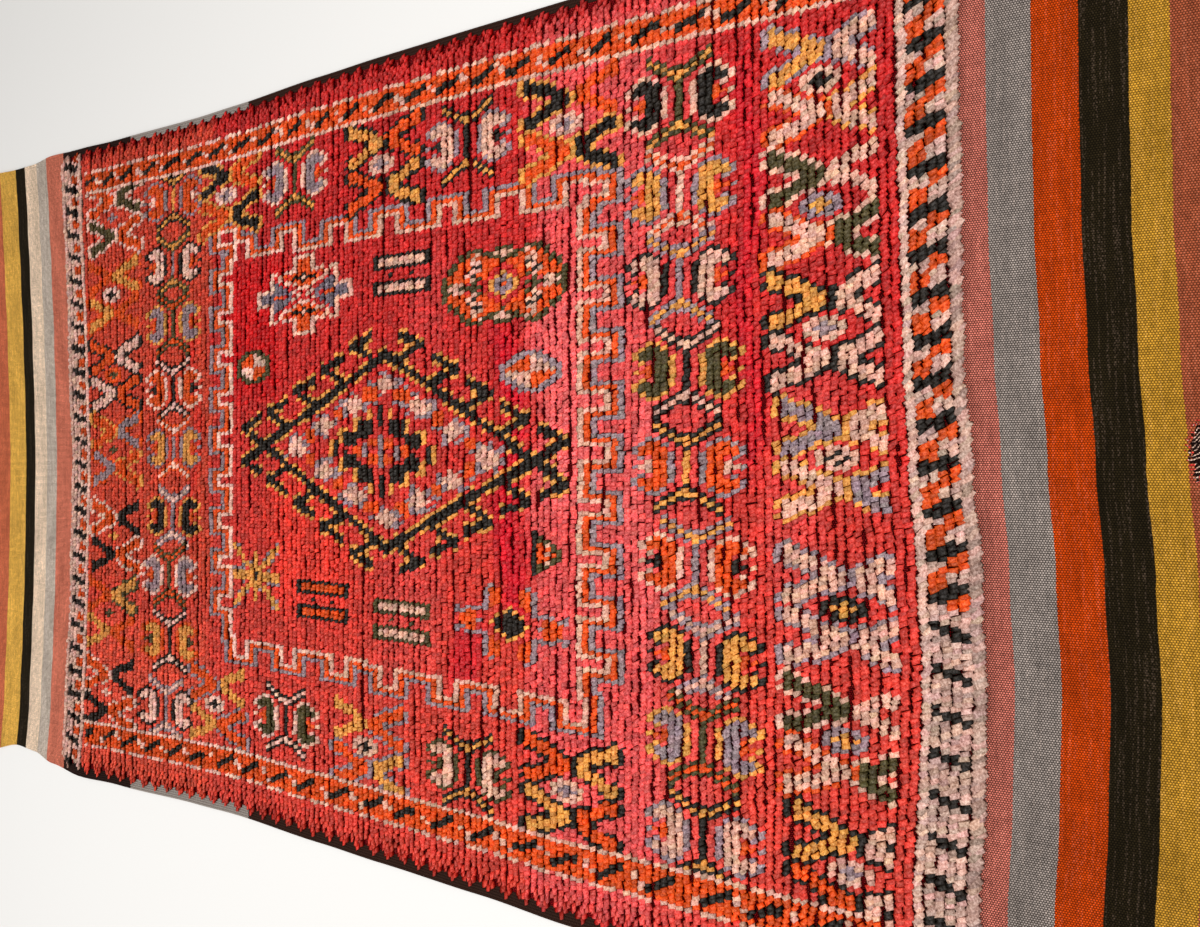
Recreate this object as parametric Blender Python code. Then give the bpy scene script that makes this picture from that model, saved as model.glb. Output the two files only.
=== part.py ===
"""A knotted-pile berber rug with flatwoven striped ends, lying flat on a floor.

Metres, +Z up. The rug's length runs along Y, its width along X, and its underside
lies on Z = 0. It is woven in one piece, so it is one solid: a thin cloth with flat
selvages and flat ends, and on it the pile. Each row of knots is raised as a ridge
with a valley on either side, and its end knots hang over the selvages in locks.
"""

import math

import bmesh
import bpy

# The cloth: along is the place on the rug's middle line, from the middle of its length
CLOTH_THICKNESS = 0.003
CLOTH_SWELL = 0.002
NEAR_END = -1.411
FAR_END = 1.378
FLAT_STEP = 0.042

# The pile
PILE_START = -1.077
PILE_STOP = 0.996
PILE_ROWS = 159
CREST_HEIGHT = 0.0165
VALLEY_HEIGHT = 0.0105
LOWEST_VALLEY = 0.0055
ROW_LUMP = 0.0012
BROAD_LUMP = 0.0014
ROW_WANDER = 0.0012
SHOULDER_IN = 0.014
SHOULDER_SHARE = 0.72

# The side rims of the pile: three rows close up into one pointed lock
SELVAGE_PLUS = 0.016
SELVAGE_MINUS = 0.027
ROWS_A_LOCK = 3
LOCK_REACH_PLUS = 0.005
LOCK_REACH_MINUS = 0.013
LOCK_TIP_HEIGHT = 0.0045

# Shares of the half width at which the inner points of a cross section lie
INNER_SHARES = (-0.78, -0.47, -0.16, 0.16, 0.47, 0.78)

# The rug's side edges, as distances from the middle line
SIDES = (
    # along, plus side, minus side
    (-1.450, 0.780, 0.784),
    (-1.200, 0.779, 0.783),
    (-1.060, 0.786, 0.790),
    (-0.450, 0.790, 0.788),
    (-0.260, 0.790, 0.780),
    (-0.020, 0.789, 0.775),
    (0.140, 0.786, 0.771),
    (0.400, 0.778, 0.763),
    (0.520, 0.776, 0.765),
    (0.790, 0.780, 0.774),
    (0.925, 0.785, 0.781),
    (1.050, 0.789, 0.769),
    (1.130, 0.780, 0.751),
    (1.205, 0.780, 0.747),
    (1.340, 0.786, 0.775),
    (1.450, 0.786, 0.778),
)

# How far the wefts bow along the rug, at its near and at its far end
BOWS = (
    # across, near end, far end
    (-0.790, -0.002, 0.050),
    (-0.600, -0.008, 0.030),
    (-0.450, -0.014, 0.018),
    (-0.300, -0.0165, 0.008),
    (-0.150, -0.010, 0.003),
    (0.000, 0.000, 0.000),
    (0.150, 0.009, 0.005),
    (0.320, 0.016, 0.014),
    (0.500, 0.019, 0.026),
    (0.620, 0.020, 0.036),
    (0.790, 0.020, 0.050),
)
BOW_FADE = 0.45

# Places where the rug is slightly buckled, so that the pile parts in a deep gap
PARTINGS = (
    # row, from across, to across, depth
    (31, -0.60, -0.30, 0.004),
    (47, -0.20, 0.55, 0.003),
    (58, -0.70, -0.35, 0.003),
    (63, 0.40, 0.78, 0.007),
    (66, 0.46, 0.78, 0.004),
    (70, 0.20, 0.50, 0.004),
    (74, -0.60, -0.45, 0.004),
    (79, 0.28, 0.74, 0.005),
    (83, -0.50, 0.40, 0.003),
    (88, 0.36, 0.77, 0.004),
    (99, 0.10, 0.60, 0.003),
    (108, -0.45, 0.10, 0.003),
    (121, -0.50, 0.20, 0.003),
    (134, -0.62, -0.25, 0.005),
    (141, -0.40, 0.45, 0.004),
    (147, 0.05, 0.55, 0.003),
)

PILE_COLOUR = (0.58, 0.045, 0.040, 1.0)
PILE_ROUGHNESS = 0.9


def blend(low, high, share):
    """low at share 0 and high at share 1, with no slope at either"""
    share = min(max(share, 0.0), 1.0)
    share = share * share * (3.0 - 2.0 * share)
    return low + (high - low) * share


def table_value(table, place, column):
    """The value in a column at a place in the table's first column"""
    if place <= table[0][0]:
        return table[0][column]
    for low, high in zip(table, table[1:]):
        if place <= high[0]:
            return blend(low[column], high[column], (place - low[0]) / (high[0] - low[0]))
    return table[-1][column]


def bowed(across, along):
    """How far the weft through this place lies along from its middle"""
    near = table_value(BOWS, across, 1) * blend(1.0, 0.0, (along - PILE_START) / BOW_FADE)
    far = table_value(BOWS, across, 2) * blend(1.0, 0.0, (PILE_STOP - along) / BOW_FADE)
    return near + far


def swell(across, along):
    """A slow unevenness between 0 and 1"""
    waves = math.sin(5.3 * across + 2.1 * along + 0.6) + math.sin(3.1 * across - 6.7 * along + 1.9)
    return 0.5 + 0.25 * waves


def broad_lump(across, along):
    """The pile's unevenness over a hand's breadth, between -1 and 1"""
    first = math.sin(17.0 * across + 4.0 * math.sin(6.0 * along))
    second = math.sin(23.0 * along + 3.0 * math.sin(5.0 * across + 1.0))
    return 0.5 * (first + second)


def row_lump(row, across):
    """How much one row differs from the next, between -1 and 1"""
    return math.sin(2.4 * row + 9.0 * across) * math.cos(1.7 * row - 5.0 * across)


def parting(row, across):
    """How deep the pile parts beside this row"""
    depth = 0.0
    for at_row, start, stop, deepest in PARTINGS:
        if row == at_row and start < across < stop:
            depth = max(depth, deepest)
    return depth


class Line:
    """One cross section: a flat weft, or the crest or valley of a row of knots"""

    def __init__(self, along, kind, row=0):
        self.along = along
        self.kind = kind
        self.row = row

    def lock_reach(self, side):
        """How far the end of this row reaches out over the selvage"""
        reach = LOCK_REACH_PLUS if side > 0 else LOCK_REACH_MINUS
        if self.kind != "crest":
            return 0.0
        return reach if self.row % ROWS_A_LOCK == 1 else 0.35 * reach

    def pile_height(self, across):
        """The height of this line's pile over the middle of the rug"""
        lumps = BROAD_LUMP * broad_lump(across, self.along) + ROW_LUMP * row_lump(self.row, across)
        if self.kind == "crest":
            return CREST_HEIGHT + lumps
        return max(VALLEY_HEIGHT + 0.5 * lumps - parting(self.row, across), LOWEST_VALLEY)

    def height(self, across):
        """The height of the top surface inside the pile's shoulders"""
        if self.kind == "flat":
            return CLOTH_THICKNESS + CLOTH_SWELL * swell(across, self.along)
        return self.pile_height(across)

    def place(self, across, height):
        """A point of this line, moved along by the weft's bow"""
        wander = 0.0
        if self.kind != "flat":
            wander = ROW_WANDER * math.sin(11.0 * across + 0.23 * self.row)
        return (across, self.along + wander + bowed(across, self.along), height)

    def side_points(self, side):
        """The rim, the pile's foot and its shoulder, from the edge inwards"""
        edge = table_value(SIDES, self.along, 1 if side > 0 else 2)
        selvage = SELVAGE_PLUS if side > 0 else SELVAGE_MINUS
        foot = edge - selvage + self.lock_reach(side)
        shoulder = edge - selvage - SHOULDER_IN
        rim = (side * edge, CLOTH_THICKNESS)
        if self.kind == "flat":
            inner = [(side * x, self.height(side * x)) for x in (foot, shoulder)]
            return [rim, *inner]
        tip = LOCK_TIP_HEIGHT if self.kind == "crest" else CLOTH_THICKNESS
        top = SHOULDER_SHARE * self.pile_height(side * shoulder)
        return [rim, (side * foot, tip), (side * shoulder, top)]

    def points(self):
        """The top surface from the minus side to the plus side"""
        width = 0.5 * (table_value(SIDES, self.along, 1) + table_value(SIDES, self.along, 2))
        left, right = self.side_points(-1), self.side_points(1)
        inner = [(share * width, self.height(share * width)) for share in INNER_SHARES]
        return [self.place(*point) for point in left + inner + right[::-1]]


def flat_lines(start, stop):
    """Evenly spaced flat wefts from start to stop, both of them included"""
    steps = max(1, round((stop - start) / FLAT_STEP))
    return [Line(start + (stop - start) * step / steps, "flat") for step in range(steps + 1)]


def rug_lines():
    """Every cross section of the rug, from its near end to its far end"""
    pitch = (PILE_STOP - PILE_START) / PILE_ROWS
    lines = flat_lines(NEAR_END, PILE_START)
    for row in range(PILE_ROWS):
        lines.append(Line(PILE_START + (row + 0.5) * pitch, "crest", row))
        if row < PILE_ROWS - 1:
            lines.append(Line(PILE_START + (row + 1.0) * pitch, "valley", row))
    return lines + flat_lines(PILE_STOP, FAR_END)


def centred(rows):
    """The same points, with the middle of their box over the origin"""
    points = [point for row in rows for point in row]
    middle = [0.5 * (min(values) + max(values)) for values in list(zip(*points))[:2]]
    return [[(x - middle[0], y - middle[1], z) for x, y, z in row] for row in rows]


def rug_mesh():
    """The closed rug: a grid over its cross sections, its rim let down, and a flat underside"""
    rows = centred([line.points() for line in rug_lines()])
    count = len(rows[0])
    bm = bmesh.new()
    grid = bmesh.ops.create_grid(bm, x_segments=count - 1, y_segments=len(rows) - 1, size=1.0)
    ordered = sorted(grid["verts"], key=lambda vert: (round(vert.co.y, 5), round(vert.co.x, 5)))
    for index, vert in enumerate(ordered):
        vert.co = rows[index // count][index % count]

    rim = [edge for edge in bm.edges if edge.is_boundary]
    let_down = bmesh.ops.extrude_edge_only(bm, edges=rim)["geom"]
    for vert in (part for part in let_down if isinstance(part, bmesh.types.BMVert)):
        vert.co.z = 0.0

    lower = [edge for edge in bm.edges if edge.is_boundary]
    beside_pile = [edge for edge in lower if all(abs(vert.co.y) < PILE_STOP for vert in edge.verts)]
    bmesh.ops.bridge_loops(bm, edges=beside_pile)
    bmesh.ops.holes_fill(bm, edges=[edge for edge in bm.edges if edge.is_boundary], sides=0)
    bmesh.ops.recalc_face_normals(bm, faces=bm.faces)
    bmesh.ops.triangulate(bm, faces=bm.faces)

    mesh = bpy.data.meshes.new("rug")
    bm.to_mesh(mesh)
    bm.free()
    mesh.shade_smooth()
    mesh.set_sharp_from_angle(angle=math.radians(60))
    return mesh


def pile_material():
    """Matt wool in the rug's main red"""
    material = bpy.data.materials.new("wool")
    material.use_nodes = True
    shader = material.node_tree.nodes["Principled BSDF"]
    shader.inputs["Base Color"].default_value = PILE_COLOUR
    shader.inputs["Roughness"].default_value = PILE_ROUGHNESS
    shader.inputs["Metallic"].default_value = 0.0
    return material


def main():
    for obj in list(bpy.data.objects):
        bpy.data.objects.remove(obj)
    rug = bpy.data.objects.new("rug", rug_mesh())
    rug.data.materials.append(pile_material())
    bpy.context.scene.collection.objects.link(rug)


main()
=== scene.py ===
"""The looks of a hand-knotted berber rug: its wool pile, tuft by tuft, and its flatwoven striped cloth.

Metres, +Z up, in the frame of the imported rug: the rug's width runs along X and its length along Y,
and it lies on Z = 0. Places on the rug are given as (ahead, across): ahead is the distance along
the floor from below the camera, and across is the distance from the rug's middle line.
"""

import math

import bmesh
import bpy
import numpy as np
from mathutils import Matrix, Vector


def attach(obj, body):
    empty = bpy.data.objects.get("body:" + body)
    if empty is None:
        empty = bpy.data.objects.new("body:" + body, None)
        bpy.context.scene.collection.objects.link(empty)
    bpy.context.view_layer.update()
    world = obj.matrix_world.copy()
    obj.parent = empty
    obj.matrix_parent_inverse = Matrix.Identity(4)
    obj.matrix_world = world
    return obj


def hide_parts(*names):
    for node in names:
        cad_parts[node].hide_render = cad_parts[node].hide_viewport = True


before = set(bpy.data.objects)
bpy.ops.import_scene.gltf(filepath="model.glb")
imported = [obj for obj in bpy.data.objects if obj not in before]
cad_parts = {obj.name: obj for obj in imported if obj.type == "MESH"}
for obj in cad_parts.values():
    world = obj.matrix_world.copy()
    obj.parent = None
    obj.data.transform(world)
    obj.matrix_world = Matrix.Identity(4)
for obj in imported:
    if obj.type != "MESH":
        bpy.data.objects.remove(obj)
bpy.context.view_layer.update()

RANDOM_SEED = 11

# The camera: its height, the point on the rug's length that it stands over, and its downward pitch
CAMERA_HEIGHT = 1.270
CAMERA_ALONG = -1.207
CAMERA_PITCH = math.atan(1570.0 / 867.0)
CAMERA_LENS = 36.0 * 867.0 / 1200.0

# The soft lights: what each stands at and looks at, its size in metres and its power in watts
LIGHTS = (
    ("key_light", (0.5, -2.0, 2.6), (0.0, -0.2, 0.0), 2.4, 84.0),
    ("fill_light", (-1.5, 1.2, 2.8), (0.0, 0.4, 0.0), 2.6, 55.0),
)
ROOM_COLOUR = (1.0, 0.98, 0.96, 1.0)
ROOM_STRENGTH = 0.54

# The cloth
CLOTH_THICKNESS = 0.003
CLOTH_SWELL = 0.002
NEAR_END = -1.411
FAR_END = 1.378
CLOTH_LENGTH = FAR_END - NEAR_END

# The pile
PILE_START = -1.077
PILE_STOP = 0.996
PILE_ROWS = 159
KNOTS = 212
PILE_WIDTH = 1.54
ROW_PITCH = (PILE_STOP - PILE_START) / PILE_ROWS
CREST_HEIGHT = 0.0165
ROW_LUMP = 0.0012
BROAD_LUMP = 0.0014
ROW_WANDER = 0.0012
SELVAGE_PLUS = 0.016
SELVAGE_MINUS = 0.027
BAND_ROWS = 32

# The cloth's weave: warp ribs, wefts, and the corded selvages with their wrapping yarn
RIB_PITCH = 0.0030
WEFT_PITCH = 0.0033
CORD_PITCH = 0.0052
CORDS_PLUS = 3
CORDS_MINUS = 5
CORD_RISE = 0.0020
CLOTH_RELIEF = 0.0015
CLOTH_EDGE = 0.0016
WRAP_PITCH = 0.0030
INNER_COLUMNS = 60

# A tuft: the heights and widths of its root, belly, shoulder and tip, and its layout when spread flat
TUFT_FOOT = 0.0022
TUFT_HEIGHTS = (0.0, 0.45, 0.78, 1.0)
TUFT_WIDTHS = (0.0, 1.0, 0.94, 0.0)
TUFT_LENGTHS = (0.0, 1.0, 0.84, 0.0)
TUFT_SQUARENESS = 0.84
LAYOUT_RADII = (0.47, 0.33, 0.17, 0.0)

# The rims of the pile: three rows close up into one pointed lock
ROWS_A_LOCK = 3
LOCK_KNOTS = 6.5
LOCK_REACH_PLUS = 0.007
LOCK_REACH_MINUS = 0.010

# The rug's side edges, as distances from the middle line
SIDES = (
    # along, plus side, minus side
    (-1.450, 0.780, 0.784),
    (-1.200, 0.779, 0.783),
    (-1.060, 0.786, 0.790),
    (-0.450, 0.790, 0.788),
    (-0.260, 0.790, 0.780),
    (-0.020, 0.789, 0.775),
    (0.140, 0.786, 0.771),
    (0.400, 0.778, 0.763),
    (0.520, 0.776, 0.765),
    (0.790, 0.780, 0.774),
    (0.925, 0.785, 0.781),
    (1.050, 0.789, 0.769),
    (1.130, 0.780, 0.751),
    (1.205, 0.780, 0.747),
    (1.340, 0.786, 0.775),
    (1.450, 0.786, 0.778),
)

# How far the wefts bow along the rug, at its near and at its far end
BOWS = (
    # across, near end, far end
    (-0.790, -0.002, 0.050),
    (-0.600, -0.008, 0.030),
    (-0.450, -0.014, 0.018),
    (-0.300, -0.0165, 0.008),
    (-0.150, -0.010, 0.003),
    (0.000, 0.000, 0.000),
    (0.150, 0.009, 0.005),
    (0.320, 0.016, 0.014),
    (0.500, 0.019, 0.026),
    (0.620, 0.020, 0.036),
    (0.790, 0.020, 0.050),
)
BOW_FADE = 0.45

# Places where the rug is slightly buckled, so that the pile parts in a wide gap
PARTINGS = (
    # row, from across, to across, depth
    (31, -0.60, -0.30, 0.004),
    (47, -0.20, 0.55, 0.003),
    (58, -0.70, -0.35, 0.003),
    (63, 0.40, 0.78, 0.007),
    (66, 0.46, 0.78, 0.004),
    (70, 0.20, 0.50, 0.004),
    (74, -0.60, -0.45, 0.004),
    (79, 0.28, 0.74, 0.005),
    (83, -0.50, 0.40, 0.003),
    (88, 0.36, 0.77, 0.004),
    (99, 0.10, 0.60, 0.003),
    (108, -0.45, 0.10, 0.003),
    (121, -0.50, 0.20, 0.003),
    (134, -0.62, -0.25, 0.005),
    (141, -0.40, 0.45, 0.004),
    (147, 0.05, 0.55, 0.003),
)

# The stripes of the flatwoven ends, in the order in which they lie ahead
STRIPE_COLOURS = {
    "red": (151, 76, 49),
    "mustard": (175, 127, 40),
    "black": (33, 26, 13),
    "orange": (176, 59, 8),
    "grey-blue": (132, 121, 114),
    "pink": (176, 98, 84),
    "pile": (120, 12, 18),
    "salmon": (209, 116, 92),
    "grey": (197, 181, 166),
    "cream": (242, 213, 184),
    "yellow": (230, 176, 78),
    "thin orange": (205, 110, 60),
    "far red": (206, 107, 73),
    "dark brown": (45, 29, 25),
    "brown": (56, 36, 29),
    "light grey": (160, 150, 142),
}
NEAR_STRIPES = (("pink", 0.0505), ("grey-blue", 0.0465), ("orange", 0.056), ("black", 0.060),
                ("mustard", 0.0425))
FAR_STRIPES = (("salmon", 0.075), ("grey", 0.036), ("thin orange", 0.005), ("cream", 0.050),
               ("black", 0.046), ("yellow", 0.074))

# A small frayed hole beside the near end's mustard stripe: along and across, and its half sizes
FRAYED_HOLE = (-1.3425, 0.012)
FRAYED_SIZE = (0.0195, 0.043)
THREAD_PITCH = 0.0058
LOOSE_WEAVE_START = -1.174
LIGHT_WARP = (205, 170, 150)
FRAYED_RED = (176, 34, 38)
DARK_GAP = (0.012, 0.004, 0.003, 1.0)

# The yarns that bind the selvages, by the place ahead at which each begins
SELVAGE_YARNS = ((-0.30, "brown"), (1.56, "light grey"), (1.95, "dark brown"))

# The yarns, as the eye sees them, 0 to 255
YARNS = {
    "red": (196, 42, 46),
    "cream": (212, 168, 148),
    "orange": (214, 84, 26),
    "black": (40, 33, 27),
    "olive": (82, 72, 42),
    "yellow": (214, 152, 76),
    "lavender": (152, 130, 134),
    "slate": (122, 108, 118),
}
YARN_NAMES = tuple(YARNS)

# The letters that stand for the yarns in the charts. A dot leaves the field
CHART_YARNS = {
    "c": "cream", "o": "orange", "b": "black", "v": "olive", "y": "yellow", "l": "lavender",
    "s": "slate", "r": "red", ".": None,
}

# The field's reds, as the eye sees them: brick on the minus side and crimson on the plus side
REDS = {
    "brick": (206, 72, 58),
    "crimson": (190, 42, 40),
    "rose": (219, 93, 92),
    "pale rose": (228, 110, 108),
    "deep": (196, 18, 40),
    "scarlet": (200, 18, 22),
    "bright brick": (222, 67, 52),
    "rust": (204, 77, 52),
    "dull": (176, 52, 42),
    "coral": (220, 88, 63),
}

# Where a dye lot of another red was woven in. Later lots lie over earlier ones
DYE_LOTS = (
    # from ahead, to ahead, from across, to across, red, strength
    (1.66, 2.30, -0.34, 0.80, "rust", 0.90),
    (1.66, 2.30, -0.80, -0.30, "coral", 0.85),
    (0.48, 0.60, -0.80, 0.80, "rose", 0.45),
    (0.57, 0.85, -0.80, 0.80, "rose", 0.85),
    (0.70, 0.83, -0.12, 0.36, "pale rose", 0.80),
    (0.59, 0.66, -0.35, 0.15, "pale rose", 0.60),
    (0.30, 0.42, -0.30, 0.20, "rose", 0.35),
    (0.41, 0.47, -0.05, 0.66, "deep", 0.60),
    (0.195, 0.235, -0.05, 0.75, "scarlet", 0.55),
    (0.24, 0.42, 0.35, 0.75, "crimson", 0.60),
    (0.84, 0.92, -0.32, 0.28, "deep", 0.80),
    (0.82, 0.86, -0.25, -0.06, "deep", 0.70),
    (0.92, 1.02, -0.45, -0.24, "deep", 0.55),
    (0.93, 1.00, 0.10, 0.24, "rose", 0.45),
    (1.00, 1.12, 0.16, 0.44, "rose", 0.30),
    (1.02, 1.20, -0.45, -0.12, "rose", 0.30),
    (1.44, 1.64, 0.10, 0.46, "scarlet", 0.75),
    (1.26, 1.52, -0.34, 0.02, "bright brick", 0.80),
    (1.70, 1.76, -0.20, 0.40, "scarlet", 0.35),
    (0.60, 1.60, 0.71, 0.80, "dull", 0.60),
)


def smoothed(share):
    """0 below share 0 and 1 above share 1, with no slope at either"""
    share = np.clip(share, 0.0, 1.0)
    return share * share * (3.0 - 2.0 * share)


def read_table(table, places, column):
    """The values of a column at places in the table's first column"""
    stops = np.array([row[0] for row in table])
    values = np.array([row[column] for row in table], float)
    places = np.clip(places, stops[0], stops[-1])
    after = np.clip(np.searchsorted(stops, places), 1, len(stops) - 1)
    share = smoothed((places - stops[after - 1]) / (stops[after] - stops[after - 1]))
    return values[after - 1] + (values[after] - values[after - 1]) * share


def bow(across, along):
    """How far the weft through this place lies along from its middle"""
    near = read_table(BOWS, across, 1) * (1.0 - smoothed((along - PILE_START) / BOW_FADE))
    far = read_table(BOWS, across, 2) * (1.0 - smoothed((PILE_STOP - along) / BOW_FADE))
    return near + far


def swell(across, along):
    """A slow unevenness between 0 and 1"""
    waves = np.sin(5.3 * across + 2.1 * along + 0.6) + np.sin(3.1 * across - 6.7 * along + 1.9)
    return 0.5 + 0.25 * waves


def broad_lump(across, along):
    """The pile's unevenness over a hand's breadth, between -1 and 1"""
    first = np.sin(17.0 * across + 4.0 * np.sin(6.0 * along))
    second = np.sin(23.0 * along + 3.0 * np.sin(5.0 * across + 1.0))
    return 0.5 * (first + second)


def row_lump(row, across):
    """How much one row differs from the next, between -1 and 1"""
    return np.sin(2.4 * row + 9.0 * across) * np.cos(1.7 * row - 5.0 * across)


def linear(colour):
    """Light values for colours given from 0 to 255, as the eye sees them"""
    share = np.asarray(colour, float) / 255.0
    return np.where(share <= 0.04045, share / 12.92, ((share + 0.055) / 1.055) ** 2.4)


def socket_colour(colour):
    """A colour given from 0 to 255, as a socket takes it"""
    return (*linear(colour), 1.0)


def yarns_of(letters):
    """The yarns that these letters stand for"""
    return [CHART_YARNS[letter] for letter in letters]


class Chart:
    """The weaver's chart: the yarn of each knot, row by row"""

    def __init__(self):
        self.rows, self.knots = np.mgrid[0:PILE_ROWS, 0:KNOTS]
        self.along = PILE_START + (self.rows + 0.5) * ROW_PITCH
        plus = read_table(SIDES, self.along, 1) - SELVAGE_PLUS
        minus = read_table(SIDES, self.along, 2) - SELVAGE_MINUS
        self.across = -minus + (self.knots + 0.5) / KNOTS * (plus + minus)
        self.shift = bow(self.across, self.along)
        self.ahead = self.along + self.shift - CAMERA_ALONG
        self.yarn = np.full(self.rows.shape, YARN_NAMES.index("red"))
        self.draw = np.random.default_rng(RANDOM_SEED + 2).uniform(0.0, 1.0, self.rows.shape)

    def nearest(self, ahead, across):
        """The row and the knot nearest to a place on the rug"""
        gap = ((self.ahead - ahead) / ROW_PITCH) ** 2 + ((self.across - across) * KNOTS / PILE_WIDTH) ** 2
        return np.unravel_index(np.argmin(gap), gap.shape)

    def offsets(self, place):
        """Each knot's rows ahead of the place and its knots to the plus side of it"""
        row, knot = self.nearest(*place)
        return self.rows - row, self.knots - knot

    def knit(self, where, yarn):
        """Works these knots in this yarn, or leaves them where there is none"""
        if yarn:
            self.yarn[where] = YARN_NAMES.index(yarn)


# One claw of a crab, a row of knots a line, from the row beside its stem outwards:
# e is the edging yarn, m the main yarn, a the middle's yarn, and a dot leaves the field
CLAW = (
    "...eeeeeee...",
    ".emmmmmmmmme.",
    "emmmmmmmmmmme",
    "emmm.aaa.mmme",
    ".emme.a.emme.",
    "..ee..e..ee..",
)
STEM_HALF = 5
FORK_ROWS = 5
FORK_START = 5.5
FORK_SLOPE = 0.85
FORK_HALF = 1.6
FORK_LINE_HALF = 0.6

# An arrowhead of a cross, with its outline, and how far apart the two crosses of a pair stand
ARM_SLOPE = 0.78
ARM_LEVEL = 4.2
ARM_ROWS = 7
ARM_HALF = 1.52
CROSS_APART = 6.3


def spread(where, rows, knots):
    """These knots, and those up to so many rows and knots from them"""
    wide = where.copy()
    for row in range(-rows, rows + 1):
        for knot in range(-knots, knots + 1):
            wide |= np.roll(where, (row, knot), (0, 1))
    return wide


def arrowhead(chart, i, j, yarns):
    """Two arms that part from a point: i counts rows away from it and j knots across"""
    main, edge = yarns_of(yarns)
    off_arm = np.abs(np.abs(j) - np.minimum(ARM_SLOPE * i, ARM_LEVEL))
    arms = (i >= 0) & (i < ARM_ROWS) & (off_arm <= ARM_HALF)
    if edge:
        chart.knit((spread(arms, 1, 0) | spread(arms, 0, 1)) & (chart.draw < 0.9), edge)
    chart.knit(arms, main)


def lozenge(chart, place, rows, knots, yarns):
    """A stepped lozenge, with an edge of one knot and a middle"""
    i, j = chart.offsets(place)
    main, edge, middle = yarns_of(yarns)
    size = np.abs(i) / rows + np.abs(j) / knots
    if edge:
        chart.knit(spread(size <= 1.0, 1, 1), edge)
    chart.knit(size <= 1.0, main)
    if middle:
        chart.knit(size <= 0.45, middle)


def crossed_arms(chart, place, far_plus, near_plus, far_minus, near_minus, middle):
    """Two crosses side by side, each of two arrowheads point to point, and a lozenge between them"""
    i, j = chart.offsets(place)
    for side, far, near in ((1, far_plus, near_plus), (-1, far_minus, near_minus)):
        arrowhead(chart, -i - 1, side * j - CROSS_APART, near)
        arrowhead(chart, i, side * j - CROSS_APART, far)
    lozenge(chart, place, 1.6, 1.8, middle)


def crab(chart, place, claws, stem, forks):
    """Two claws back to back beside a stem, which forks at either end"""
    i, j = chart.offsets(place)
    yarns = dict(zip("mea.", yarns_of(claws + ".")))
    half = len(CLAW[0]) // 2
    for number, line in enumerate(CLAW):
        for knot, mark in enumerate(line):
            chart.knit((np.abs(i) == number + 2) & (j == knot - half), yarns[mark])
    stem, outer, inner = yarns_of(stem + forks)
    chart.knit((i == 0) & (np.abs(j) <= STEM_HALF), stem)
    for step in range(FORK_ROWS):
        arm = np.abs(np.abs(j) - FORK_START - FORK_SLOPE * step)
        chart.knit((np.abs(i) == step) & (arm <= FORK_HALF), outer)
        chart.knit((np.abs(i) == step) & (arm <= FORK_LINE_HALF), inner)


# The stepped frame: its sides, how its minus side slants, and its teeth, in metres and in rows
FRAME_NEAR = 0.737
FRAME_FAR = 1.600
FRAME_PLUS = 0.437
FRAME_MINUS = -0.372
FRAME_SLANT = 0.035
FRAME_TEETH = (0.745, 0.88, 1.018, 1.165, 1.29, 1.435, 1.575)
TOOTH_REACH = 0.036
TOOTH_ROWS = 3.3
TOOTH_HALF = 0.0085
TOOTH_HALF_ROWS = 1.1
FIRST_TOOTH = 0.369
TOOTH_PITCH = 0.0881
FAR_TOOTH_SHIFT = 0.034


def stepped_frame(chart):
    """The stepped frame round the middle field: a battlemented edge in three lines"""
    inside = (chart.ahead > FRAME_NEAR) & (chart.ahead < FRAME_FAR)
    low = FRAME_MINUS - FRAME_SLANT * (FRAME_FAR - chart.ahead)
    inside &= (chart.across > low) & (chart.across < FRAME_PLUS)
    reach = TOOTH_ROWS * ROW_PITCH
    beyond_near = (chart.ahead <= FRAME_NEAR) & (chart.ahead > FRAME_NEAR - reach)
    beyond_far = (chart.ahead >= FRAME_FAR) & (chart.ahead < FRAME_FAR + reach)
    for number in range(-1, 9):
        middle = FIRST_TOOTH - TOOTH_PITCH * number
        inside |= (np.abs(chart.across - middle) < TOOTH_HALF) & beyond_near
        inside |= (np.abs(chart.across - middle - FAR_TOOTH_SHIFT) < TOOTH_HALF) & beyond_far
    beyond_low = (chart.across <= low) & (chart.across > low - TOOTH_REACH)
    beyond_plus = (chart.across >= FRAME_PLUS) & (chart.across < FRAME_PLUS + TOOTH_REACH)
    for middle in FRAME_TEETH:
        inside |= (np.abs(chart.ahead - middle) < TOOTH_HALF_ROWS * ROW_PITCH) & (beyond_low | beyond_plus)
    for yarn in ("cream", "orange", "lavender"):
        wider = spread(inside, 1, 1)
        chart.knit(wider & ~inside, yarn)
        inside = wider


# Where the zigzag of a side band stands: the place ahead, and the turns that it has made there
SIDE_TURNS = {
    1: ((-0.20, 18.5), (1.28, 0.0), (2.30, -12.75)),
    -1: ((-0.20, 28.2), (0.79, 17.0), (1.32, 11.0), (2.245, 0.0), (2.40, -1.8)),
}

# The knots from the edge at which each side band begins and ends, and its ends ahead
SIDE_KNOTS = {1: (14, 7), -1: (16, 8)}
SIDE_ENDS = (0.235, 2.15)
RISING_SHARE = 0.6
ZIGZAG_HEIGHT = 0.42


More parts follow.
